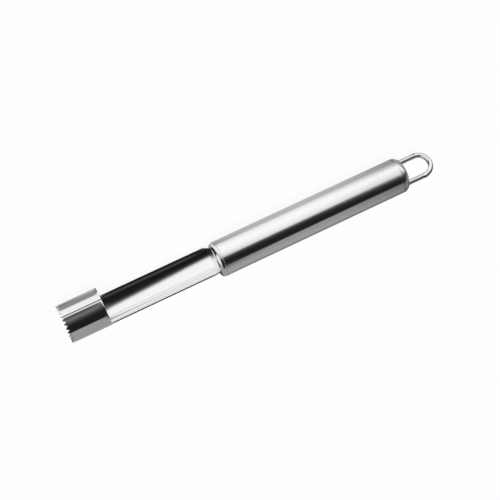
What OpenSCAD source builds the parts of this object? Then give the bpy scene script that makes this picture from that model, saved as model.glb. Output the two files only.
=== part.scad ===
// Apple corer of stainless steel: a rolled sheet blade with a toothed ring, set in
// a closed tubular handle with a wire loop to hang it by. All sizes in millimetres.
//
// Each piece is drawn in the tool's own frame: the handle's axis is X, x = 0 is the
// handle's front face, +X points to the teeth and +Z is the blade's open side.
// lying() then lays the whole tool on a table, where it rests on the handle and the
// ring, with z = 0 as the table.

/* [Blade] */
// Outer diameter of the toothed ring and of the open trough behind it
blade_d = 20.8; // [17:0.2:26]
// Thickness of the rolled steel sheet
sheet_t = 0.6; // [0.4:0.05:1]
// Length of the closed ring, from the tooth tips to its rear edge
ring_length = 22.2; // [14:0.2:36]
// Length of the open trough between the ring and the handle
trough_length = 62.3; // [40:0.1:100]
// Angle from the spine of the trough to each of its cut edges
trough_half_angle = 55.6; // [50:0.2:80]
// Distance from the handle's axis to the blade's axis, towards the open side
blade_offset = 8.8; // [7:0.1:11]
// Radius of the inner corners where the trough leaves the ring
corner_r = 0.7; // [0.3:0.1:2]
// Length of the sloping cuts that narrow the trough in front of the handle
neck_length = 2.9; // [1:0.1:8]
// Length of the narrow tang that is held inside the handle
tang_length = 24; // [10:1:50]
// Width of the butt seam that closes the ring
seam_gap = 0.2; // [0.1:0.05:0.5]

/* [Teeth] */
// Number of teeth round the ring
tooth_count = 28; // [16:1:40]
// Depth of the notches between the teeth
tooth_depth = 1.7; // [0.8:0.1:3]
// Turn of the first tooth away from the seam
tooth_turn = 3; // [0:0.5:12]

/* [Handle] */
// Outer diameter of the handle
handle_d = 19.6; // [17.6:0.2:26]
// Length of the handle over both end caps
handle_length = 113.5; // [80:0.1:160]
// Wall of the handle tube
tube_wall = 0.8; // [0.4:0.1:1.2]
// Wall of the end caps, at the face and at the spigot
cap_wall = 0.9; // [0.5:0.1:1.4]
// Radius of the rounded shoulder of the front cap
front_round = 2.6; // [1:0.1:4]
// Radius of the rounded end of the rear cap
rear_round = 4.8; // [1:0.1:6]
// Straight band of each cap between its rounding and the seam with the tube
cap_band = 0.6; // [0.2:0.1:3]
// Length of each cap's spigot inside the tube
spigot_length = 5; // [2:0.5:12]

/* [Hanging loop] */
// Diameter of the loop's wire
wire_d = 2.8; // [1.4:0.1:3]
// Distance between the centre lines of the two legs
leg_spacing = 12.7; // [8:0.1:14]
// How far the loop stands out of the handle's rear end
loop_reach = 17; // [12:0.1:30]
// Length of wire held inside the rear cap
leg_depth = 4; // [2:0.5:8]

/* [Clearances] */
// Gap between a cap's spigot and the tube
spigot_gap = 0.05; // [0.02:0.01:0.2]
// Gap round the tang in the front cap's slot
slot_gap = 0.1; // [0.05:0.05:0.3]
// Gap between the tang's edges and the inside of the front cap
tang_gap = 0.3; // [0.1:0.1:1]
// Gap round each leg of the loop in the rear cap
leg_gap = 0.1; // [0.05:0.05:0.3]

/* [Hidden] */
$fn = 96;

// How far a cutting shape runs past the face that it cuts
over = 1;

blade_r = blade_d / 2;
blade_bore_r = blade_r - sheet_t;
handle_r = handle_d / 2;
bore_r = handle_r - tube_wall;
spigot_r = bore_r - spigot_gap;
hollow_r = spigot_r - cap_wall;
wire_r = wire_d / 2;
bend_r = leg_spacing / 2;

// Places along the tool's X axis
ring_back = trough_length;
tooth_tips = trough_length + ring_length;
tang_end = -tang_length;
front_seam = -front_round - cap_band;
rear_face = -handle_length;
rear_seam = rear_face + rear_round + cap_band;
bend_start = rear_face - loop_reach + wire_r + bend_r;
loop_end = rear_face - loop_reach;

// The tang's edges stop where the blade's circle comes near the front cap's hollow
tang_reach_r = hollow_r - tang_gap;
tang_half_angle = acos((pow(blade_r, 2) + pow(blade_offset, 2) - pow(tang_reach_r, 2))
                       / (2 * blade_r * blade_offset));
neck_angle = trough_half_angle - tang_half_angle;
slot_gap_angle = 180 / PI * slot_gap / blade_bore_r;

// At rest the handle and the ring both touch the table, which sets the tool's roll
rest_roll = acos((blade_r - handle_r) / blade_offset);
rest_shift_x = -(tooth_tips + loop_end) / 2;
rest_shift_y = (blade_offset * sin(rest_roll) + blade_r - handle_r) / 2;

module lying() {
    translate([rest_shift_x, rest_shift_y, handle_r])
        rotate([rest_roll, 0, 0])
            children();
}

// Turns a shape drawn along Z into one along X that starts at x, on the handle's axis
module on_handle_axis(x) {
    translate([x, 0, 0])
        rotate([0, 90, 0])
            children();
}

// The same on the blade's axis: the shape's own +X becomes the spine of the trough
module on_blade_axis(x) {
    translate([x, 0, blade_offset])
        rotate([0, 90, 0])
            children();
}

// The sector of the blade's circle that lies open from the ring back to the tang's end
module open_side() {
    on_blade_axis(tang_end - over)
        rotate([0, 0, trough_half_angle])
            rotate_extrude(angle = 360 - 2 * trough_half_angle)
                square([blade_r + over, ring_back - tang_end + over]);
}

// Repeats a shape on the other side of the tool's plane of symmetry
module both_sides() {
    children();
    mirror([0, 1, 0])
        children();
}

// The web that is left in the corner between the ring and one edge of the trough
module corner_web() {
    on_blade_axis(ring_back)
        rotate([0, 0, trough_half_angle])
            rotate([0, 90, 0])
                linear_extrude(blade_r + 2 * over)
                    difference() {
                        translate([-over, -over])
                            square(corner_r + over);
                        translate([corner_r, corner_r])
                            circle(corner_r);
                    }
}

// The cut along one edge that slopes in to the handle's face and then follows the tang
module tang_cut() {
    neck_rise = blade_r * tan(neck_angle);
    on_blade_axis(0)
        rotate([0, 0, tang_half_angle])
            rotate([0, 90, 0])
                linear_extrude(blade_r + over)
                    polygon([[tang_length + over, 0], [0, 0], [-neck_length, neck_rise],
                             [-neck_length, neck_rise + over],
                             [tang_length + over, neck_rise + over]]);
}

// One notch between two teeth, cut straight through the sheet
module tooth_notch() {
    half_pitch = blade_r * tan(180 / tooth_count);
    slope = half_pitch / tooth_depth;
    rotate([0, 90, 0])
        linear_extrude(blade_r + over)
            polygon([[tooth_depth, 0], [-over, -half_pitch - over * slope],
                     [-over, half_pitch + over * slope]]);
}

module corer_blade() {
    color("gainsboro")
        lying()
            difference() {
                on_blade_axis(tang_end)
                    cylinder(h = tooth_tips - tang_end, r = blade_r);
                on_blade_axis(tang_end - over)
                    cylinder(h = tooth_tips - tang_end + 2 * over, r = blade_bore_r);
                difference() {
                    open_side();
                    both_sides()
                        corner_web();
                }
                both_sides()
                    tang_cut();
                on_blade_axis(tooth_tips)
                    for (i = [0 : tooth_count - 1])
                        rotate([0, 0, 180 + tooth_turn + (i + 0.5) * 360 / tooth_count])
                            tooth_notch();
                translate([ring_back - over, -seam_gap / 2, blade_offset])
                    cube([ring_length + 2 * over, seam_gap, blade_r + over]);
            }
}

module handle_tube() {
    color("silver")
        lying()
            difference() {
                on_handle_axis(rear_seam)
                    cylinder(h = front_seam - rear_seam, r = handle_r);
                on_handle_axis(rear_seam - over)
                    cylinder(h = front_seam - rear_seam + 2 * over, r = bore_r);
            }
}

// Half section of a round end: its face at y = 0, its side at r and its foot at -depth
module rounded_end(r, round_r, depth) {
    translate([0, -depth])
        square([r, depth - round_r]);
    translate([0, -depth])
        square([r - round_r, depth]);
    translate([r - round_r, -round_r])
        intersection() {
            circle(round_r);
            square(round_r);
        }
}

// A round cap with a rounded rim and a spigot, its face at z = 0 and its rim below. Its
// hollow follows the face and the rounding at the wall's thickness.
module end_cap(round_r) {
    rim = round_r + cap_band;
    foot = rim + spigot_length;
    rotate_extrude()
        difference() {
            union() {
                rounded_end(handle_r, round_r, rim);
                translate([0, -foot])
                    square([spigot_r, spigot_length + cap_band]);
            }
            intersection() {
                translate([0, -foot - over])
                    square([hollow_r, foot + over]);
                translate([0, -cap_wall])
                    rounded_end(handle_r - cap_wall, round_r - cap_wall,
                                foot + over - cap_wall);
            }
        }
}

module front_cap() {
    color("whitesmoke")
        lying()
            difference() {
                on_handle_axis(0)
                    end_cap(front_round);
                on_blade_axis(-front_round)
                    rotate([0, 0, -tang_half_angle - slot_gap_angle])
                        rotate_extrude(angle = 2 * (tang_half_angle + slot_gap_angle))
                            translate([blade_bore_r - slot_gap, 0])
                                square([sheet_t + 2 * slot_gap, front_round + over]);
            }
}

module rear_cap() {
    color("silver")
        lying()
            difference() {
                on_handle_axis(rear_face)
                    mirror([0, 0, 1])
                        end_cap(rear_round);
                both_sides()
                    translate([0, bend_r, 0])
                        on_handle_axis(rear_face - over)
                            cylinder(h = rear_round + cap_wall + over, r = wire_r + leg_gap);
            }
}

module hanging_loop() {
    color("lightgray")
        lying() {
            both_sides()
                translate([0, bend_r, 0])
                    on_handle_axis(bend_start)
                        cylinder(h = rear_face + leg_depth - bend_start, r = wire_r);
            translate([bend_start, 0, 0])
                rotate([0, 0, 90])
                    rotate_extrude(angle = 180)
                        translate([bend_r, 0])
                            circle(wire_r);
        }
}

corer_blade();
handle_tube();
front_cap();
rear_cap();
hanging_loop();
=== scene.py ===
import math

import bmesh
import bpy
import numpy as np
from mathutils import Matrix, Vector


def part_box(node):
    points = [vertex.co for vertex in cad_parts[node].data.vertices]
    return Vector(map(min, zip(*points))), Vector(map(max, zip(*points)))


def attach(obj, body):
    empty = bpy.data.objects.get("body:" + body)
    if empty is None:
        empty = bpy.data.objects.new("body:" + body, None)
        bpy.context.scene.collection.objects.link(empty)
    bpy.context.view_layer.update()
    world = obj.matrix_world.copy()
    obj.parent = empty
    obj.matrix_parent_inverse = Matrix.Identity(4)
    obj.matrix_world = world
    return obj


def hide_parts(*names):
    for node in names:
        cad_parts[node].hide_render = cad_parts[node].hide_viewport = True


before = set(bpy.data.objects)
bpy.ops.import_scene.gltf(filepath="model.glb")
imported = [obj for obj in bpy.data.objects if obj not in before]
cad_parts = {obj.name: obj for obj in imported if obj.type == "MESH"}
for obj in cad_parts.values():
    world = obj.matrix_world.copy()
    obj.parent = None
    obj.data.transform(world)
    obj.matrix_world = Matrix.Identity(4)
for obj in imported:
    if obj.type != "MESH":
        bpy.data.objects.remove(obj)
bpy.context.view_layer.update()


# Corer blade. One sheet of stainless steel, mirror polished: rolled into a ring that
# is closed by a butt seam and toothed in front, left open behind it as a trough, and
# narrowed to a tang that is held in the slot of the handle's front cap.
blade_low, blade_high = np.array(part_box("corer_blade"))
front_low, front_high = np.array(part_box("front_cap"))

blade_radius = (blade_high[2] - blade_low[2]) / 2
blade_centre = np.array([0.0, blade_low[1] + blade_radius, blade_low[2] + blade_radius])
handle_radius = (front_high[2] - front_low[2]) / 2
handle_centre = (front_low + front_high) / 2 * np.array([0.0, 1.0, 1.0])
blade_offset = np.linalg.norm(blade_centre - handle_centre)

along = np.array([1.0, 0.0, 0.0])
open_way = (blade_centre - handle_centre) / blade_offset
side_way = np.cross(open_way, along)

sheet_thickness = 0.0006
ring_length = 0.0222
trough_half_angle = math.radians(55.6)
tang_reach_radius = 0.00775
corner_radius = 0.0007
neck_length = 0.0029
seam_gap = 0.0002
tooth_count = 28
tooth_depth = 0.0017
tooth_turn = math.radians(3)
first_tooth = tooth_turn - math.pi

# The cut edges are rounded by a hair. The rounding is drawn out along the sheet this
# many times at the seam, and at the ring's rear edge.
sheet_edge_round = 0.00004
seam_edge_spread = 5.0
rear_edge_spread = 14.0

tooth_tips = blade_high[0]
ring_back = tooth_tips - ring_length
handle_face = front_high[0]
neck_front = handle_face + neck_length
tang_end = blade_low[0]
corner_angle = trough_half_angle + corner_radius / blade_radius
tang_half_angle = math.acos(
    (blade_radius ** 2 + blade_offset ** 2 - tang_reach_radius ** 2)
    / (2 * blade_radius * blade_offset))

# Rows of points: shares of the ring's length, close together at its edges, and how far
# from a bend of the trough's edge, or from the tang's end, a row keeps the shading even.
# Points and angles that differ by less than tiny are one.
ring_rows = np.concatenate([[0, 0.01], np.linspace(0.05, 0.95, 14), [0.99, 1]])
corner_rows = 9
rows_per_stretch = 4
columns_per_flank = 6
edge_rows_each_side = 5
bend_guard = 0.001
end_guard = 0.0003
tiny = 1e-8


def quads(index):
    """Four-sided faces between neighbours in a grid of vertex numbers."""
    corners = [index[:-1, :-1], index[:-1, 1:], index[1:, 1:], index[1:, :-1]]
    return np.stack(corners, -1).reshape(-1, 4)


def add_piece(name, points, faces, ends=()):
    """Makes a smooth closed mesh of four-sided faces, and of end faces with any number of
    corners, with doubled points welded and all faces turned outwards."""
    mesh = bpy.data.meshes.new(name)
    mesh.from_pydata(points.reshape(-1, 3).tolist(), [], [*faces.tolist(), *ends])
    form = bmesh.new()
    form.from_mesh(mesh)
    bmesh.ops.remove_doubles(form, verts=form.verts, dist=tiny)
    bmesh.ops.recalc_face_normals(form, faces=form.faces)
    form.to_mesh(mesh)
    form.free()
    mesh.shade_smooth()
    piece = bpy.data.objects.new(name, mesh)
    bpy.context.scene.collection.objects.link(piece)
    return piece


def between(knots, steps):
    """Splits each stretch between two knots into equal steps."""
    start = knots[:-1, None]
    parts = start + np.diff(knots)[:, None] * np.arange(steps) / steps
    return np.append(parts.ravel(), knots[-1])


def ring_angles(inset):
    """Columns of the ring, as angles from the spine: a few from each tooth tip to each
    root, and one at the seam and at each corner of the trough."""
    half_turn = math.pi - (seam_gap / 2 + seam_edge_spread * inset) / blade_radius
    half_teeth = first_tooth + np.arange(2 * tooth_count) * math.pi / tooth_count
    ends = [-half_turn, -corner_angle, corner_angle, half_turn]
    return between(np.sort(np.append(half_teeth, ends)), columns_per_flank)


def tooth_line(angle, inset):
    """Front edge of the ring at an angle: a saw line with a tip at every tooth."""
    turn = (angle - first_tooth) / (2 * math.pi / tooth_count)
    fall = 2 * np.abs(turn - np.round(turn))
    half_pitch = math.pi * blade_radius / tooth_count
    flank = math.atan2(half_pitch, tooth_depth)
    return tooth_tips - tooth_depth * fall - inset / math.sin(flank)


def sheet_grids(inset, rear_inset):
    """Places x and angle on the sheet, drawn in from its cut edges by an inset, and from
    the ring's rear edge by one of its own.

    Ring: x = rear edge + w (tooth line - rear edge), with w from 0 to 1 in each column.
    Trough: angle = column's angle / corner angle * edge(x), where the edge follows a
    quarter circle at the ring, then the trough's side, the neck and the tang.
    """
    angle = ring_angles(inset)
    rear = ring_back + rear_inset
    ring_x = rear + ring_rows[:, None] * (tooth_line(angle, inset) - rear)
    ring_angle = np.broadcast_to(angle, ring_x.shape)

    turn = np.linspace(0, math.pi / 2, corner_rows)
    corner_end = ring_back - corner_radius
    corner_x = corner_end + (corner_radius + rear_inset) * np.cos(turn)
    corner_out = (corner_radius + inset) * (1 - np.sin(turn)) / blade_radius
    knots = np.array([corner_end, corner_end - corner_radius, neck_front + bend_guard,
                      neck_front, handle_face, handle_face - bend_guard,
                      tang_end + end_guard, tang_end + inset])
    rest_x = between(knots, rows_per_stretch)[1:]
    trough_x = np.append(corner_x, rest_x)
    side = np.interp(-trough_x, [-neck_front, -handle_face],
                     [trough_half_angle, tang_half_angle])
    edge = side - inset / blade_radius + np.append(corner_out, np.zeros(rest_x.size))
    inner = np.abs(angle) < corner_angle + tiny
    trough_angle = edge[:, None] * angle[inner] / corner_angle
    trough_x = np.broadcast_to(trough_x[:, None], trough_angle.shape)
    return ring_x, ring_angle, trough_x[1:], trough_angle[1:], inner


def on_blade(x, angle, radius):
    """Point = blade's axis + x along + radius (sin angle side - cos angle open way)."""
    out = side_way * np.sin(angle)[..., None] - open_way * np.cos(angle)[..., None]
    return blade_centre + along * x[..., None] + radius * out


def sheet_points(inset, rear_inset, radius):
    """All points of one skin of the sheet: the ring's grid, then the trough's rows."""
    ring_x, ring_angle, trough_x, trough_angle, _ = sheet_grids(inset, rear_inset)
    x = np.append(ring_x, trough_x)
    angle = np.append(ring_angle, trough_angle)
    return on_blade(x, angle, radius)


# Point numbers of one skin, and of the border that runs once round all its cut edges
ring_x, _, trough_x, _, inner = sheet_grids(0, 0)
first, last = np.flatnonzero(inner)[[0, -1]]
ring_index = np.arange(ring_x.size).reshape(ring_x.shape)
trough_index = ring_x.size + np.arange(trough_x.size).reshape(trough_x.shape)
trough_index = np.vstack([ring_index[0, first:last + 1], trough_index])
border = np.concatenate([
    ring_index[0, last:], ring_index[1:, -1], ring_index[-1, -2::-1], ring_index[-2::-1, 0],
    ring_index[0, 1:first + 1], trough_index[1:, 0], trough_index[-1, 1:],
    trough_index[-2:0:-1, -1]])

# The sheet's two skins, and the rows that round its cut edge from one to the other
rounding = np.linspace(0, math.pi / 2, edge_rows_each_side)
edge_inset = sheet_edge_round * (1 - np.sin(rounding))
edge_drop = sheet_edge_round * (1 - np.cos(rounding))
insets = np.append(edge_inset, edge_inset[::-1])
rear_insets = np.append(rear_edge_spread * edge_inset, edge_inset[::-1])
radii = np.append(blade_radius - edge_drop,
                  blade_radius - sheet_thickness + edge_drop[::-1])
sheet_rows = [sheet_points(*place) for place in zip(insets, rear_insets, radii)]
outer_skin, inner_skin = sheet_rows[0], sheet_rows[-1]
edge_rows = [row[border] for row in sheet_rows[1:-1]]

skin_size = len(outer_skin)
edge_index = 2 * skin_size + np.arange(len(edge_rows) * border.size).reshape(-1, border.size)
edge_index = np.vstack([border, edge_index, skin_size + border])
edge_index = np.hstack([edge_index, edge_index[:, :1]])
skin_faces = np.vstack([quads(ring_index), quads(trough_index)])
blade = add_piece(
    "blade_sheet",
    np.vstack([outer_skin, inner_skin, *edge_rows]),
    np.vstack([skin_faces, skin_faces[:, ::-1] + skin_size, quads(edge_index)]))


def feed(tree, socket, source):
    """Links a socket to another node's, or sets it where the source is a plain value."""
    if isinstance(source, bpy.types.NodeSocket):
        tree.links.new(source, socket)
    else:
        socket.default_value = source


def math_node(tree, operation, *sources):
    """One Math node. Each source is a socket or a number."""
    node = tree.nodes.new("ShaderNodeMath")
    node.operation = operation
    for socket, source in zip(node.inputs, sources):
        feed(tree, socket, source)
    return node.outputs[0]


def ease(tree, value, low, high, at_low=0.0, at_high=1.0):
    """Goes smoothly from at_low to at_high while value goes from low to high."""
    node = tree.nodes.new("ShaderNodeMapRange")
    node.interpolation_type = "SMOOTHSTEP"
    for label, source in (("Value", value), ("From Min", low), ("From Max", high),
                          ("To Min", at_low), ("To Max", at_high)):
        feed(tree, node.inputs[label], source)
    return node.outputs[0]


def mix_colours(tree, kind, share, one, other):
    """Colour one, with this share of the other laid over it by one of Blender's kinds of
    blend. A colour Mix node has its share in socket 0 and its colours in 6 and 7."""
    node = tree.nodes.new("ShaderNodeMix")
    node.data_type = "RGBA"
    node.blend_type = kind
    for number, source in ((0, share), (6, one), (7, other)):
        feed(tree, node.inputs[number], source)
    return node.outputs[2]


def new_group(name, inputs, outputs):
    """An empty node group with sockets by name and kind, and the sockets of its ends."""
    group = bpy.data.node_groups.new(name, "ShaderNodeTree")
    for way, sockets in (("INPUT", inputs), ("OUTPUT", outputs)):
        for label, kind in sockets.items():
            group.interface.new_socket(label, in_out=way, socket_type="NodeSocket" + kind)
    given = group.nodes.new("NodeGroupInput").outputs
    result = group.nodes.new("NodeGroupOutput").inputs
    return group, given, result


def marks_group(name, along_scale, across_scale):
    """Marks left by a wheel or brush. Streak is a noise of object coordinates that is
    stretched by the two scales, and Patch is a wide one. Both lie evenly round 0.

    Colour = Tone + Tone Change * Streak and Height = Streak.
    Roughness = given Roughness + Roughness Change * Streak + Haze * Patch.
    """
    group, given, result = new_group(
        name,
        {"Tone": "Float", "Tone Change": "Float", "Roughness": "Float",
         "Roughness Change": "Float", "Haze": "Float"},
        {"Colour": "Color", "Roughness": "Float", "Height": "Float"})
    place = group.nodes.new("ShaderNodeTexCoord")

    def noise(scales, detail):
        stretch = group.nodes.new("ShaderNodeVectorMath")
        stretch.operation = "MULTIPLY"
        feed(group, stretch.inputs[0], place.outputs["Object"])
        feed(group, stretch.inputs[1], scales)
        texture = group.nodes.new("ShaderNodeTexNoise")
        for label, source in (("Vector", stretch.outputs[0]), ("Scale", 1),
                              ("Detail", detail), ("Roughness", 0.6)):
            feed(group, texture.inputs[label], source)
        return math_node(group, "SUBTRACT", texture.outputs["Fac"], 0.5)

    def moved(base, change, value):
        return math_node(group, "MULTIPLY_ADD", value, change, base)

    streak = noise((along_scale, across_scale, across_scale), 4)
    patch = noise((140, 260, 260), 2)
    streaked = moved(given["Roughness"], given["Roughness Change"], streak)
    feed(group, result["Colour"], moved(given["Tone"], given["Tone Change"], streak))
    feed(group, result["Roughness"], moved(streaked, given["Haze"], patch))
    feed(group, result["Height"], streak)
    return group


# Duller and darker places of the blade: the ring's inside, where the polishing wheel
# doesn't reach, a dark line beside the seam, and painted shade along the trough's straight
# cut edge, standing in for the shadowed floor that edge mirrors. Each pair holds the two
# places or distances between which a look comes or goes: the ring's inside from its rear
# edge on, the end of the dullest stretch there, the dark beside the seam, and the trough's
# straight part.
ring_inside = (ring_back, ring_back + 0.004)
dullest_end = (ring_back + 0.006, ring_back + 0.014)
middle_radius = blade_radius - sheet_thickness / 2
seam_dark_width = (0.00018, 0.00034)
# Painted shade: the trough's straight cut edge is darkened over this width, standing in for the
# shadowed floor it mirrors
painted_edge_shade_width = 0.0003
blur = 0.0001
straight_start = (neck_front, neck_front + 0.001)
straight_end = (ring_back - 0.002, ring_back - corner_radius)
inside_colour = (0.58, 0.58, 0.58, 1)
# Colour of the dark seam line and of the painted shade on the trough's edge
seam_and_edge_shade_colour = (0.05, 0.05, 0.05, 1)
painted_edge_shade_share = 0.85
inside_dulling = 0.09
dullest_dulling = 0.15
dullest_metal_loss = 0.3


def unpolished_and_shaded_group(name):
    """Darker and duller places of the blade, and painted shade, from object coordinates. Side
    and open are the distances from the blade's axis along those two ways, and a is the
    trough's half angle less the width of the painted edge shade.

    Inside = x past the ring's rear edge, where the distance from the axis is less than
    the middle of the sheet. Dullest = Inside * (1 - x past its end).
    Seam = |side| within the seam's dark width, where open is above 0.
    Edge shade = |side| cos a + open sin a above 0, along the straight part of the trough:
    painted shade on the trough's cut edge, standing in for the shadowed floor it mirrors.
    Colour = given colour mixed with the inside's by Inside, then with the dark colour by
    Seam + share * Edge shade. Roughness = given + b * Inside + c * Dullest.
    Metallic = 1 - d * Dullest.
    """
    group, given, result = new_group(
        name, {"Colour": "Color", "Roughness": "Float"},
        {"Colour": "Color", "Roughness": "Float", "Metallic": "Float"})

    def calc(operation, *sources):
        return math_node(group, operation, *sources)

    place = group.nodes.new("ShaderNodeTexCoord")
    parts = group.nodes.new("ShaderNodeSeparateXYZ")
    feed(group, parts.inputs[0], place.outputs["Object"])
    x = parts.outputs["X"]
    off_y = calc("SUBTRACT", parts.outputs["Y"], blade_centre[1])
    off_z = calc("SUBTRACT", parts.outputs["Z"], blade_centre[2])

    def distance_along(way):
        return calc("ADD", calc("MULTIPLY", off_y, way[1]), calc("MULTIPLY", off_z, way[2]))

    off_axis = calc("SQRT", calc("ADD", calc("MULTIPLY", off_y, off_y),
                                 calc("MULTIPLY", off_z, off_z)))
    outside = ease(group, off_axis, middle_radius, middle_radius + blur)
    inside = calc("MULTIPLY", ease(group, x, *ring_inside), calc("SUBTRACT", 1, outside))
    dullest = calc("MULTIPLY", inside, calc("SUBTRACT", 1, ease(group, x, *dullest_end)))

    off_plane = calc("ABSOLUTE", distance_along(side_way))
    opened = distance_along(open_way)
    near_seam = calc("SUBTRACT", 1, ease(group, off_plane, *seam_dark_width))
    seam = calc("MULTIPLY", near_seam, ease(group, opened, 0, blade_radius / 2))
    # Painted shade along the trough's straight cut edge, standing in for the shadowed floor it
    # mirrors
    edge_angle = trough_half_angle - painted_edge_shade_width / blade_radius
    past_edge = calc("ADD", calc("MULTIPLY", off_plane, math.cos(edge_angle)),
                     calc("MULTIPLY", opened, math.sin(edge_angle)))
    straight = calc("SUBTRACT", ease(group, x, *straight_start),
                    ease(group, x, *straight_end))
    painted_edge_shade = calc("MULTIPLY", ease(group, past_edge, 0, blur), straight)
    seam_line_and_edge_shade = calc("ADD", seam, calc("MULTIPLY", painted_edge_shade, painted_edge_shade_share))

    greyed = mix_colours(group, "MIX", inside, given["Colour"], inside_colour)
    dulled = calc("ADD", calc("MULTIPLY", inside, inside_dulling),
                  calc("MULTIPLY", dullest, dullest_dulling))
    feed(group, result["Colour"], mix_colours(group, "MIX", seam_line_and_edge_shade, greyed, seam_and_edge_shade_colour))
    feed(group, result["Roughness"], calc("ADD", given["Roughness"], dulled))
    feed(group, result["Metallic"],
         calc("SUBTRACT", 1, calc("MULTIPLY", dullest, dullest_metal_loss)))
    return group


def steel(name, marks, finish, relief, smear=0.0, unpolished_and_shaded=None):
    """Stainless steel: a metal whose tone, roughness and height vary with the marks left
    on it, which are as deep as the relief. A smear above 0 draws its reflections out
    across those marks, and a group of unpolished and shaded places dulls and darkens the
    places it names, some of them with painted shade."""
    material = bpy.data.materials.new(name)
    material.use_nodes = True
    tree = material.node_tree
    shader = tree.nodes["Principled BSDF"]
    shader.inputs["Metallic"].default_value = 1
    shader.inputs["Anisotropic"].default_value = smear
    surface = tree.nodes.new("ShaderNodeGroup")
    surface.node_tree = marks
    for label, value in finish.items():
        surface.inputs[label].default_value = value
    bump = tree.nodes.new("ShaderNodeBump")
    bump.inputs["Strength"].default_value = 1
    bump.inputs["Distance"].default_value = relief
    tree.links.new(surface.outputs["Height"], bump.inputs["Height"])
    tree.links.new(bump.outputs[0], shader.inputs["Normal"])
    if unpolished_and_shaded:
        places = tree.nodes.new("ShaderNodeGroup")
        places.node_tree = unpolished_and_shaded
        tree.links.new(surface.outputs["Colour"], places.inputs["Colour"])
        tree.links.new(surface.outputs["Roughness"], places.inputs["Roughness"])
        tree.links.new(places.outputs["Metallic"], shader.inputs["Metallic"])
        surface = places
    tree.links.new(surface.outputs["Colour"], shader.inputs["Base Color"])
    tree.links.new(surface.outputs["Roughness"], shader.inputs["Roughness"])
    if smear:
        quarter_turn = 0.25
        shader.inputs["Anisotropic Rotation"].default_value = quarter_turn
        round_axis = tree.nodes.new("ShaderNodeTangent")
        round_axis.direction_type = "RADIAL"
        round_axis.axis = "X"
        tree.links.new(round_axis.outputs[0], shader.inputs["Tangent"])
    return material


polish_marks = marks_group("polish_marks", 180, 2600)
polish_relief = 1.5e-7
# The sheet's dull and dark places include painted shade along the trough's cut edge
polished_sheet = steel("polished_sheet", polish_marks, {
    "Tone": 0.88, "Tone Change": 0.04, "Roughness": 0.045, "Roughness Change": 0.03,
    "Haze": 0.05}, polish_relief, unpolished_and_shaded=unpolished_and_shaded_group("unpolished_and_shaded_places"))
blade.data.materials.append(polished_sheet)
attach(blade, "root")
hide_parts("corer_blade")


# Front cap. A turned plug of polished stainless steel with a rounded shoulder, pressed
# into the tube by its spigot. The blade's tang goes through a curved slot in its face.
front_shoulder = 0.0026
cap_band = 0.0006
cap_wall = 0.0009
tube_wall = 0.0008
spigot_length = 0.005
spigot_gap = 0.00005
slot_gap = 0.0001
spigot_radius = handle_radius - tube_wall - spigot_gap
hollow_radius = spigot_radius - cap_wall

# Radius of an eased rim, the angle from which an edge is shaded as crisp, and how far a
# solid that cuts runs past the face that it cuts
eased = 0.0002
crisp_angle = math.radians(35)
cut_past = 0.001


def rounded_profile(corners, radii, steps=5):
    """Outline through corner points, each rounded by an arc, with a point near each end
    of a straight stretch so that it keeps its own shading.

    Arc = centre + (sin((1 - w) s) start + sin(w s) end) / sin s, for w from 0 to 1, with
    s the arc's sweep. A radius of 0 leaves a corner as it is.
    """
    corners = np.array(corners, float)
    before, after = np.roll(corners, 1, 0), np.roll(corners, -1, 0)
    towards = (before - corners) / np.linalg.norm(before - corners, axis=1)[:, None]
    onwards = (after - corners) / np.linalg.norm(after - corners, axis=1)[:, None]
    guard = eased / 2
    part = np.linspace(0, 1, steps + 1)[:, None]
    outline = []
    for corner, one, other, radius in zip(corners, towards, onwards, radii):
        if radius == 0:
            outline.append(corner[None])
            continue
        half = math.acos(np.clip(one @ other, -1, 1)) / 2
        reach = radius / math.tan(half)
        centre = corner + (one + other) / np.linalg.norm(one + other) * radius / math.sin(half)
        start, end = corner + one * reach - centre, corner + other * reach - centre
        sweep = math.pi - 2 * half
        arc = (np.sin((1 - part) * sweep) * start + np.sin(part * sweep) * end) / math.sin(sweep)
        outline.append(np.vstack([
            centre + start + one * guard, centre + arc, centre + end + other * guard]))
    return np.vstack(outline)


def circle(columns, one_way, other_way):
    """Directions cos t one way + sin t other way, for t once round."""
    turn = np.arange(columns) * 2 * math.pi / columns
    return np.cos(turn)[:, None] * one_way + np.sin(turn)[:, None] * other_way


def turned(name, profile, closed, columns=192):
    """A profile of x and radius, carried round the handle's axis.

    Point = axis + x along + radius (cos t out + sin t side), for t once round.
    """
    round_way = circle(columns, -open_way, side_way)
    points = (handle_centre + along * profile[:, 0, None, None]
              + profile[:, 1, None, None] * round_way)
    index = np.arange(len(profile) * columns).reshape(len(profile), columns)
    if closed:
        index = np.vstack([index, index[:1]])
    index = np.hstack([index, index[:, :1]])
    return add_piece(name, points, quads(index))


def cut_out(piece, cutter):
    """Takes the cutter's solid out of a piece for good and leaves the new edges crisp."""
    boolean = piece.modifiers.new("cut_out", "BOOLEAN")
    boolean.object = cutter
    boolean.solver = "EXACT"
    result = piece.evaluated_get(bpy.context.evaluated_depsgraph_get())
    mesh = bpy.data.meshes.new_from_object(result)
    piece.modifiers.clear()
    piece.data = mesh
    mesh.set_sharp_from_angle(angle=crisp_angle)
    bpy.data.objects.remove(cutter)


def cap_profile(face, way, shoulder, seam_round):
    """Half section of an end cap, from the middle of its face round to the middle of its
    hollow; way is 1 where the face looks along +X and -1 where it looks along -X."""
    rim = face - way * (shoulder + cap_band)
    end = rim - way * spigot_length
    hollow_floor = face - way * cap_wall
    corners = [(face, 0), (face, handle_radius), (rim, handle_radius), (rim, spigot_radius),
               (end, spigot_radius), (end, hollow_radius), (hollow_floor, hollow_radius),
               (hollow_floor, 0)]
    radii = [0, shoulder, seam_round, eased, eased, eased, shoulder - cap_wall, 0]
    return rounded_profile(corners, radii, steps=10)


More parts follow.
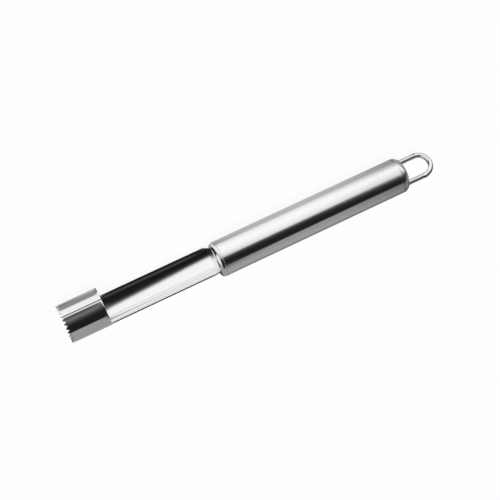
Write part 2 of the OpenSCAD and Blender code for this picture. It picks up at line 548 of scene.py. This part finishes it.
def tang_slot(columns=33):
    """The slot's solid: the tang's section with a gap round it, carried along X. Point =
    blade's axis + x + radius at an angle from the spine, on a grid of angle and corner."""
    outer_radius = blade_radius + slot_gap
    inner_radius = blade_radius - sheet_thickness - slot_gap
    half_angle = tang_half_angle + slot_gap / (blade_radius - sheet_thickness)
    angle = np.linspace(-half_angle, half_angle, columns)
    back, front = handle_face - front_shoulder, handle_face + cut_past
    corners = [on_blade(np.full(angle.shape, x), angle, radius)
               for x, radius in ((back, outer_radius), (front, outer_radius),
                                 (front, inner_radius), (back, inner_radius))]
    index = np.arange(4 * columns).reshape(4, columns)
    sides = quads(np.vstack([index, index[:1]]))
    return add_piece("tang_slot", np.vstack(corners), sides, index[:, [0, -1]].T.tolist())


front_cap = turned("front_cap_turned", cap_profile(handle_face, 1, front_shoulder, eased),
                   False)
cut_out(front_cap, tang_slot())
brush_marks = marks_group("brush_marks", 9000, 120)
polished_cap = steel("polished_cap", brush_marks, {
    "Tone": 0.88, "Tone Change": 0.05, "Roughness": 0.07, "Roughness Change": 0.03,
    "Haze": 0.04}, polish_relief)
front_cap.data.materials.append(polished_cap)
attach(front_cap, "root")
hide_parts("front_cap")


# Handle tube. A length of round stainless tube, brushed round its axis. The caps close
# it at both ends, and its rims meet theirs in fine seams: the front one is eased, and the
# rear one is left nearly as it was cut.
tube_low, tube_high = np.array(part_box("handle_tube"))
bore_radius = handle_radius - tube_wall
as_cut = eased / 10
tube_corners = [(tube_low[0], bore_radius), (tube_low[0], handle_radius),
                (tube_high[0], handle_radius), (tube_high[0], bore_radius)]
tube = turned("handle_tube_brushed",
              rounded_profile(tube_corners, [eased, as_cut, eased, eased]), True)
brushed_finish = {"Tone": 0.9, "Tone Change": 0.10, "Roughness": 0.13,
                  "Roughness Change": 0.06, "Haze": 0.03}
brush_relief = 4e-7
brush_smear = 0.8
brushed_tube = steel("brushed_tube", brush_marks, brushed_finish, brush_relief, brush_smear)
tube.data.materials.append(brushed_tube)
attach(tube, "root")
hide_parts("handle_tube")


# Rear cap. A second turned plug, brushed like the tube, with a wider rounded end and
# two holes in its face for the legs of the hanging loop.
rear_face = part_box("rear_cap")[0].x
rear_shoulder = 0.0048
wire_radius = 0.0014
bend_radius = 0.00635
leg_gap = 0.0001


def leg_hole(way, columns=48):
    """The solid of one hole, a cylinder along X round a leg of the loop.

    Point = leg's axis + x along + radius (cos t open way + sin t side), for t once round.
    """
    around = (wire_radius + leg_gap) * circle(columns, open_way, side_way)
    centre = handle_centre + way * bend_radius * side_way
    ends = (rear_face - cut_past, rear_face + rear_shoulder + cap_wall)
    points = np.vstack([centre + along * x + around for x in ends])
    index = np.arange(2 * columns).reshape(2, columns)
    sides = quads(np.hstack([index, index[:, :1]]))
    return add_piece("leg_hole", points, sides, index.tolist())


rear_cap = turned("rear_cap_turned", cap_profile(rear_face, -1, rear_shoulder, as_cut),
                  False)
cut_out(rear_cap, leg_hole(1))
cut_out(rear_cap, leg_hole(-1))
brushed_cap = steel("brushed_cap", brush_marks, brushed_finish, brush_relief, brush_smear)
rear_cap.data.materials.append(brushed_cap)
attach(rear_cap, "root")
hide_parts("rear_cap")


# Hanging loop. Round stainless wire bent into a U, with both legs pushed into the rear
# cap and held there.
loop_low, loop_high = np.array(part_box("hanging_loop"))
bend_start = loop_low[0] + wire_radius + bend_radius
leg_end = loop_high[0]


def wire_loop(name, bend_rows=49, columns=32):
    """A circle carried along a U-shaped path: out along one leg, half round, and back.

    Point = path + r (cos t across + sin t open way), with r closing to 0 at both ends.
    """
    bend = np.linspace(0, math.pi, bend_rows)
    leg = between(np.array([bend_start, bend_start + 2 * bend_guard, leg_end - bend_guard,
                            leg_end]), 2)[1:]
    x = np.concatenate([leg[::-1], bend_start - bend_radius * np.sin(bend), leg])
    way = np.concatenate([np.zeros(leg.size), bend, np.full(leg.size, math.pi)])
    side = bend_radius * np.cos(way)
    across = -np.sin(way)[:, None] * along + np.cos(way)[:, None] * side_way
    path = handle_centre + x[:, None] * along + side[:, None] * side_way
    path = np.vstack([path[:1], path, path[-1:]])
    across = np.vstack([across[:1], across, across[-1:]])
    radius = np.concatenate([[0], np.full(x.size, wire_radius), [0]])
    turn = np.arange(columns) * 2 * math.pi / columns
    around = np.cos(turn)[:, None] * across[:, None] + np.sin(turn)[:, None] * open_way
    points = path[:, None] + radius[:, None, None] * around
    index = np.arange(path.shape[0] * columns).reshape(-1, columns)
    index = np.hstack([index, index[:, :1]])
    return add_piece(name, points, quads(index))


loop = wire_loop("hanging_loop_wire")
polished_wire = steel("polished_wire", polish_marks, {
    "Tone": 0.88, "Tone Change": 0.04, "Roughness": 0.05, "Roughness Change": 0.03,
    "Haze": 0.04}, polish_relief)
loop.data.materials.append(polished_wire)
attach(loop, "root")
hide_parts("hanging_loop")


# Studio. A pale floor under the tool, a soft lamp above it, and the room that the steel
# mirrors: a white sweep low in front, black above it and a grey ceiling at the back.
floor_radius = 4.0
floor_white_share = 0.93


def floor_disc(radius, columns=96):
    """A round floor: radius times (cos t, sin t), with the table at z = 0."""
    points = radius * circle(columns, along, np.array([0.0, 1.0, 0.0]))
    mesh = bpy.data.meshes.new("studio_floor")
    mesh.from_pydata(points.tolist(), [], [list(range(columns))])
    disc = bpy.data.objects.new("studio_floor", mesh)
    bpy.context.scene.collection.objects.link(disc)
    return disc


floor = floor_disc(floor_radius)
floor.visible_glossy = False

# Straight to the camera the floor is nearly all plain white, and keeps a soft shadow
floor_paint = bpy.data.materials.new("floor_paint")
floor_paint.use_nodes = True
tree = floor_paint.node_tree
paint = tree.nodes["Principled BSDF"]
paint.inputs["Base Color"].default_value = (0.9, 0.9, 0.9, 1)
paint.inputs["Roughness"].default_value = 0.9
paint.inputs["Specular IOR Level"].default_value = 0.1
glow = tree.nodes.new("ShaderNodeEmission")
glow.inputs["Strength"].default_value = 1
seen = tree.nodes.new("ShaderNodeLightPath")
white_share = math_node(tree, "MULTIPLY", seen.outputs["Is Camera Ray"], floor_white_share)
mixed = tree.nodes.new("ShaderNodeMixShader")
tree.links.new(white_share, mixed.inputs[0])
tree.links.new(paint.outputs[0], mixed.inputs[1])
tree.links.new(glow.outputs[0], mixed.inputs[2])
tree.links.new(mixed.outputs[0], tree.nodes["Material Output"].inputs["Surface"])
floor.data.materials.append(floor_paint)


def tone_ramp(angle, stops):
    """Tone of the room against the angle above the front horizon, in degrees."""
    ramp = room_tree.nodes.new("ShaderNodeValToRGB")
    band = ramp.color_ramp
    for number, (degrees, tone) in enumerate(stops):
        spot = (degrees + 180) / 360
        stop = band.elements[number] if number < 2 else band.elements.new(spot)
        stop.position = spot
        stop.color = (tone, tone, tone, 1)
    room_tree.links.new(angle, ramp.inputs[0])
    return ramp.outputs[0]


def room_mix(low, high, at_low, at_high):
    """Goes from one room to another while the sideways direction goes from low to high."""
    return mix_colours(room_tree, "MIX", ease(room_tree, sideways, low, high), at_low, at_high)


world = bpy.data.worlds.new("studio_room")
bpy.context.scene.world = world
world.use_nodes = True
room_tree = world.node_tree
place = room_tree.nodes.new("ShaderNodeTexCoord")
parts = room_tree.nodes.new("ShaderNodeSeparateXYZ")
room_tree.links.new(place.outputs["Generated"], parts.inputs[0])
sideways = parts.outputs["X"]
forward = math_node(room_tree, "MULTIPLY", parts.outputs["Y"], -1)
height = math_node(room_tree, "ARCTAN2", parts.outputs["Z"], forward)
angle = math_node(room_tree, "ADD", math_node(room_tree, "DIVIDE", height, 2 * math.pi), 0.5)

# Over the teeth: a white sweep up to the horizon, a dim wall and a black ceiling
teeth_above_floor = [
    (-57, 0.98), (-12, 0.98), (-4, 0.08), (4, 0.085), (13, 0.19), (22, 0.125), (32, 0.055),
    (44, 0.018), (60, 0.013), (85, 0.013), (89, 0.36), (130, 0.335), (180, 0.36)]
teeth_near_tips = tone_ramp(angle, [
    (-180, 0.36), (-150, 0.55), (-126, 0.52), (-116, 0.24), (-104, 0.17), (-95, 0.26),
    (-80, 0.29), (-60, 0.36), *teeth_above_floor])
teeth_near_rear = tone_ramp(angle, [
    (-180, 0.36), (-150, 0.55), (-120, 0.52), (-105, 0.46), (-93, 0.30), (-80, 0.27),
    (-60, 0.34), *teeth_above_floor])
teeth_room = room_mix(-0.004, 0.032, teeth_near_rear, teeth_near_tips)

# Over the trough: the sweep has one fold low in front and rises towards the handle, by
# so many degrees for a whole step sideways. The black above it reaches further back, and
# has a thin grey line high up near the ring.
rise_from = -0.083
rise_degrees = 260
beyond = math_node(room_tree, "SUBTRACT", sideways, rise_from)
rise = math_node(room_tree, "MULTIPLY", beyond, rise_degrees / 360)
risen_angle = math_node(room_tree, "ADD", angle, rise)
sweep_near_ring = tone_ramp(risen_angle, [
    (-180, 0.36), (-130, 1.0), (-60, 1.04), (4, 1.02), (10, 0.95), (18, 0.60), (24, 0.25),
    (30, 0.09), (37, 0.032), (44, 0.018), (56, 0.0)])
sweep_near_handle = tone_ramp(risen_angle, [
    (-180, 0.36), (-130, 1.0), (-60, 1.04), (2, 1.02), (11, 0.94), (17, 0.76), (23, 0.38),
    (29, 0.10), (35, 0.033), (43, 0.012), (56, 0.0)])
trough_low = room_mix(-0.09, -0.068, sweep_near_handle, sweep_near_ring)
high_near_ring = tone_ramp(angle, [
    (44, 0.012), (58, 0.01), (64, 0.014), (69, 0.035), (74.5, 0.08), (79, 0.04),
    (86, 0.012), (100, 0.01), (108, 0.34), (140, 0.36), (180, 0.36)])
high_near_handle = tone_ramp(angle, [
    (44, 0.010), (100, 0.006), (108, 0.34), (140, 0.36), (180, 0.36)])
trough_high = room_mix(-0.108, -0.088, high_near_handle, high_near_ring)
sweep_fold = tone_ramp(angle, [
    (-180, 0.40), (-115, 0.30), (-92, 0.10), (-78, 0.10), (-72, 0.60), (-69, 1.0),
    (-61, 0.94), (-54, 0.76), (-47, 0.95), (-42, 1.0)])
trough_both = mix_colours(room_tree, "LIGHTEN", 1, trough_low, trough_high)
trough_room = mix_colours(room_tree, "MULTIPLY", 1, sweep_fold, trough_both)

# Over the handle: the sweep is highest, and the room dims towards the hanging loop
handle_front = tone_ramp(angle, [
    (-180, 0.50), (-115, 0.53), (-82, 0.54), (-72, 0.60), (-62, 0.88), (-50, 1.03),
    (-30, 1.08), (-8, 1.06), (12, 0.95), (21, 0.86), (25, 0.60), (30, 0.13), (35, 0.045),
    (46, 0.02), (60, 0.013), (81, 0.012), (85, 0.30), (92, 0.37), (105, 0.345),
    (138, 0.38), (152, 0.32), (164, 0.20), (180, 0.15)])
handle_rear = tone_ramp(angle, [
    (-180, 0.42), (-115, 0.33), (-80, 0.335), (-68, 0.42), (-58, 0.60), (-48, 0.80),
    (-38, 0.92), (-22, 0.94), (-4, 0.80), (8, 0.62), (17, 0.50), (23, 0.38), (29, 0.20),
    (36, 0.10), (44, 0.06), (52, 0.04), (60, 0.018), (75, 0.012), (82, 0.03), (88, 0.13),
    (96, 0.20), (110, 0.225), (140, 0.27), (156, 0.20), (180, 0.14)])
handle_room = room_mix(-0.285, -0.235, handle_rear, handle_front)

# Beyond the teeth: the sweep closes the room with white, up to a grey ceiling. There is a
# dim gap in it, and the far wall darkens towards the floor.
near_wall = tone_ramp(angle, [
    (-180, 0.06), (-146, 0.06), (-136, 0.45), (-95, 0.90), (-60, 0.98), (-4, 0.98),
    (6, 0.82), (15, 0.52), (24, 0.27), (32, 0.10), (41, 0.03), (55, 0.015), (80, 0.015),
    (95, 0.04), (100, 0.38), (180, 0.40)])
wall_gap = tone_ramp(angle, [
    (-180, 0.06), (-146, 0.06), (-136, 0.40), (-110, 0.50), (-60, 0.85), (-24, 0.75),
    (-12, 0.35), (2, 0.35), (14, 0.60), (28, 0.60), (38, 0.05), (80, 0.03), (96, 0.12),
    (110, 0.32), (180, 0.35)])
far_tones = tone_ramp(angle, [
    (-180, 0.30), (-164, 0.05), (-100, 0.04), (-62, 0.85), (-54, 0.98), (60, 0.96),
    (82, 0.48), (120, 0.40), (180, 0.30)])
low_shade = ease(room_tree, parts.outputs["Z"], -0.33, -0.03, 0.05, 1.0)
far_wall = mix_colours(room_tree, "MULTIPLY", 1, far_tones, low_shade)

# Beyond the loop: a dark room with one white band low in front and a dim grey ceiling
loop_wall = tone_ramp(angle, [
    (-180, 0.03), (-52, 0.03), (-42, 0.30), (-34, 1.2), (24, 1.2), (36, 0.50), (44, 0.05),
    (60, 0.01), (180, 0.02)])
loop_corner = tone_ramp(angle, [
    (-180, 0.03), (-152, 0.05), (-136, 0.25), (-110, 0.33), (-80, 0.34), (-60, 0.60),
    (-38, 0.98), (-10, 0.90), (6, 0.66), (17, 0.48), (29, 0.24), (36, 0.12), (52, 0.045),
    (74, 0.015), (84, 0.06), (98, 0.11), (114, 0.22), (150, 0.24), (168, 0.14),
    (180, 0.03)])

# The rooms in a row from the loop to the teeth, each with the stretch where it takes over
rooms = loop_corner
for low, high, next_room in ((-0.40, -0.36, loop_wall),
                             (-0.314, -0.306, handle_room),
                             (-0.115, -0.105, trough_room),
                             (-0.012, -0.003, teeth_room),
                             (0.045, 0.075, near_wall),
                             (0.22, 0.28, wall_gap),
                             (0.50, 0.60, far_wall)):
    rooms = room_mix(low, high, rooms, next_room)

# The camera itself sees plain white in place of the room
room = room_tree.nodes["Background"]
room_tree.links.new(rooms, room.inputs["Color"])
backdrop = room_tree.nodes.new("ShaderNodeBackground")
backdrop.inputs["Color"].default_value = (1, 1, 1, 1)
view_path = room_tree.nodes.new("ShaderNodeLightPath")
chosen = room_tree.nodes.new("ShaderNodeMixShader")
room_tree.links.new(view_path.outputs["Is Camera Ray"], chosen.inputs[0])
room_tree.links.new(room.outputs[0], chosen.inputs[1])
room_tree.links.new(backdrop.outputs[0], chosen.inputs[2])
room_tree.links.new(chosen.outputs[0], room_tree.nodes["World Output"].inputs["Surface"])

lamp = bpy.data.lights.new("overhead_light", "SUN")
lamp.energy = 2.2
lamp.angle = math.radians(70)
lamp_object = bpy.data.objects.new("overhead_light", lamp)
lamp_object.visible_glossy = False
bpy.context.scene.collection.objects.link(lamp_object)
bpy.context.scene.view_settings.view_transform = "Standard"


# Camera. It looks down at the open side of the trough from in front of the teeth, and
# is rolled so that the handle rises to the right.
camera_place = np.array([0.0893, -0.5319, 0.2575])
camera_aim = np.array([0.00353, 0.00573, 0.01214])
camera_roll = math.radians(151.175)
camera_data = bpy.data.cameras.new("photo_camera")
camera_data.lens = 81.29
camera_data.sensor_width = 36
camera_data.clip_start = 0.01
camera_data.clip_end = 20
camera = bpy.data.objects.new("photo_camera", camera_data)
back_way = (camera_place - camera_aim) / np.linalg.norm(camera_place - camera_aim)
level = np.cross([0, 0, 1], back_way)
level = level / np.linalg.norm(level)
upright = np.cross(back_way, level)
right = level * math.cos(camera_roll) + upright * math.sin(camera_roll)
up = upright * math.cos(camera_roll) - level * math.sin(camera_roll)
place_matrix = np.eye(4)
place_matrix[:3, :3] = np.stack([right, up, back_way], 1)
place_matrix[:3, 3] = camera_place
camera.matrix_world = place_matrix.T.tolist()
bpy.context.scene.collection.objects.link(camera)
bpy.context.scene.camera = camera
